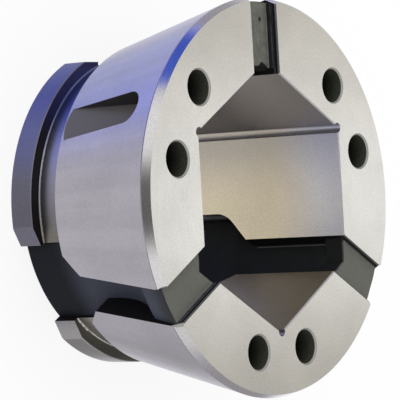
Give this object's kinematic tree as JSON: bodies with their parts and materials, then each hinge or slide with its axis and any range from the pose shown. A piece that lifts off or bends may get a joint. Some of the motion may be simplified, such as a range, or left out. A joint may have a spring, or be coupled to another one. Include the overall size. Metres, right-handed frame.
{
  "type": "hexagonal collet",
  "caption": "Quick-change clamping collet: flanged steel jaws with a tapered outside and a hexagonal bore, bonded by rubber webs and squeezed together by a changing tool.",
  "frame": {"origin": "on the bore's axis in the rear face of the flange, which the collet stands on", "axes": "+Z along the bore from the rear flange to the front face with the pin holes; +Y towards the slot between the two back jaws, so the front jaw lies towards -Y"},
  "size_m": [0.0979, 0.0976, 0.0505],
  "materials": {
    "hardened_steel": "ground and turned",
    "bonded_rubber": "moulded, satin"
  },
  "bodies": {
    "front_jaw": {"jaw_front": "hardened_steel", "web_front_left": "bonded_rubber", "web_front_right": "bonded_rubber"},
    "back_left_jaw": {"jaw_back_left": "hardened_steel", "web_back": "bonded_rubber"},
    "back_right_jaw": {"jaw_back_right": "hardened_steel"}
  },
  "joints": [
    {"name": "left_squeeze", "type": "slide", "parent": "front_jaw", "child": "back_left_jaw", "axis": [0.5, -0.866, 0], "range_m": [0, 0.004], "stiffness_N_per_m": 40000, "deforming": ["web_front_left", "web_back"]},
    {"name": "right_squeeze", "type": "slide", "parent": "front_jaw", "child": "back_right_jaw", "axis": [-0.5, -0.866, 0], "range_m": [0, 0.004], "stiffness_N_per_m": 40000, "deforming": ["web_front_right"]}
  ],
  "couplings": [
    {"joint": "right_squeeze", "follows": "left_squeeze", "ratio": 1}
  ]
}
